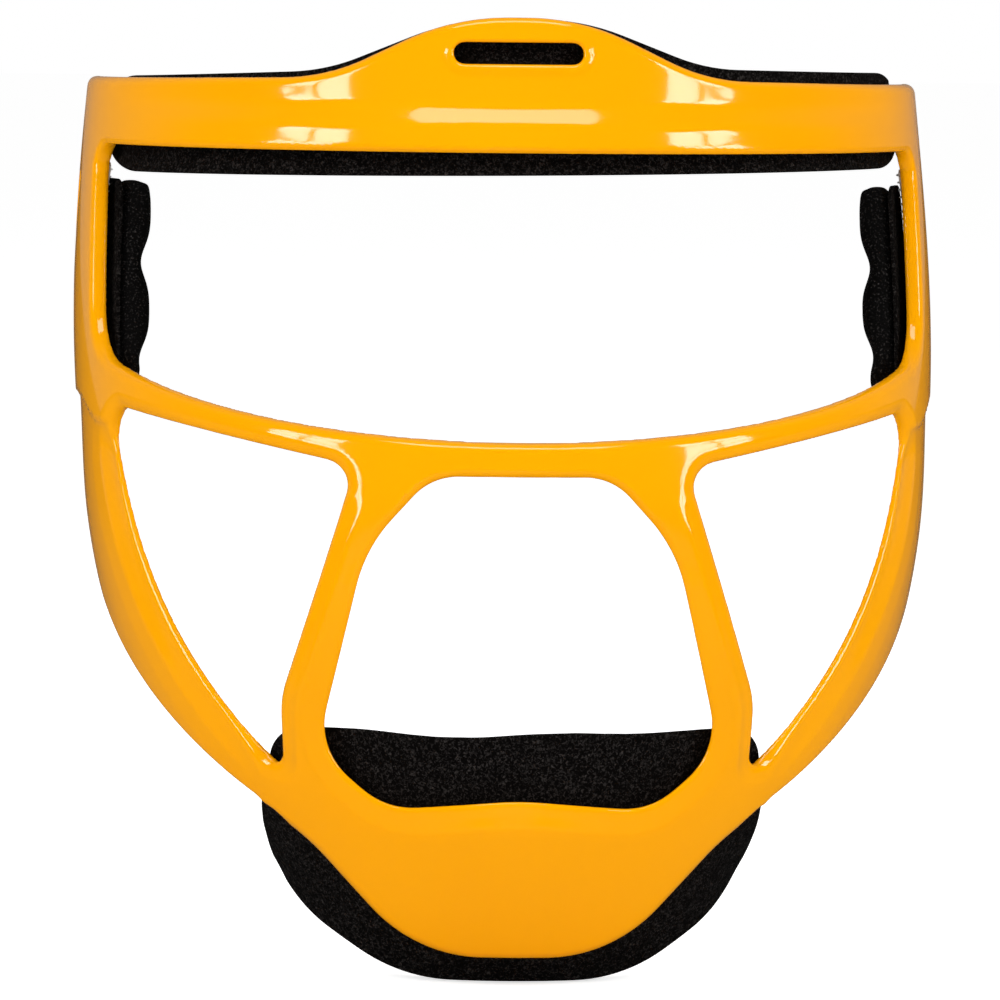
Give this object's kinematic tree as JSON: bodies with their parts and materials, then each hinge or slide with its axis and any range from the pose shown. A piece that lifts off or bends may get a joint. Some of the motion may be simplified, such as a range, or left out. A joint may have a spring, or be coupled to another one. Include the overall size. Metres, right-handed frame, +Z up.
{
  "type": "fielder's face mask",
  "caption": "Open moulded face guard for ball sports, with a brow bar, eye bar, mouth bars, jaw bars and chin cup, and padded contacts held inside by hook tape.",
  "frame": {"origin": "midway between the temple plates, level with the middle of the side slots", "axes": "+Z up, -Y the way the wearer faces, +X to the right seen from in front"},
  "size_m": [0.1822, 0.1197, 0.1949],
  "materials": {
    "frame_plastic": "glossy moulded, golden yellow",
    "pad_fabric": "fine black brushed knit",
    "pad_foam": "closed-cell black foam",
    "loop_fabric": "napped black loop pile",
    "hook_tape": "off-white hook tape"
  },
  "bodies": {
    "guard": {"face_frame": "frame_plastic", "forehead_hook_tape_left": "hook_tape", "forehead_hook_tape_centre": "hook_tape", "forehead_hook_tape_right": "hook_tape", "temple_hook_tape_left_upper": "hook_tape", "temple_hook_tape_left_lower": "hook_tape", "temple_hook_tape_right_upper": "hook_tape", "temple_hook_tape_right_lower": "hook_tape", "chin_hook_tape_left": "hook_tape", "chin_hook_tape_right": "hook_tape"},
    "forehead_pad": {"forehead_pad_loop_backing": "loop_fabric", "forehead_pad_foam": "pad_foam", "forehead_pad_cover": "pad_fabric"},
    "chin_pad": {"chin_pad_loop_backing": "loop_fabric", "chin_pad_foam": "pad_foam", "chin_pad_cover": "pad_fabric"},
    "temple_pad_left": {"temple_pad_left_loop_backing": "loop_fabric", "temple_pad_left_foam": "pad_foam", "temple_pad_left_cover": "pad_fabric"},
    "temple_pad_right": {"temple_pad_right_loop_backing": "loop_fabric", "temple_pad_right_foam": "pad_foam", "temple_pad_right_cover": "pad_fabric"}
  },
  "joints": [
    {"name": "forehead_pad_release", "type": "slide", "parent": "guard", "child": "forehead_pad", "axis": [0, 1, 0], "range_m": [0, 0.05]},
    {"name": "chin_pad_release", "type": "slide", "parent": "guard", "child": "chin_pad", "axis": [0, 1, 0], "range_m": [0, 0.05]},
    {"name": "temple_pad_left_release", "type": "slide", "parent": "guard", "child": "temple_pad_left", "axis": [1, 0, 0], "range_m": [0, 0.035]},
    {"name": "temple_pad_right_release", "type": "slide", "parent": "guard", "child": "temple_pad_right", "axis": [-1, 0, 0], "range_m": [0, 0.035]}
  ]
}
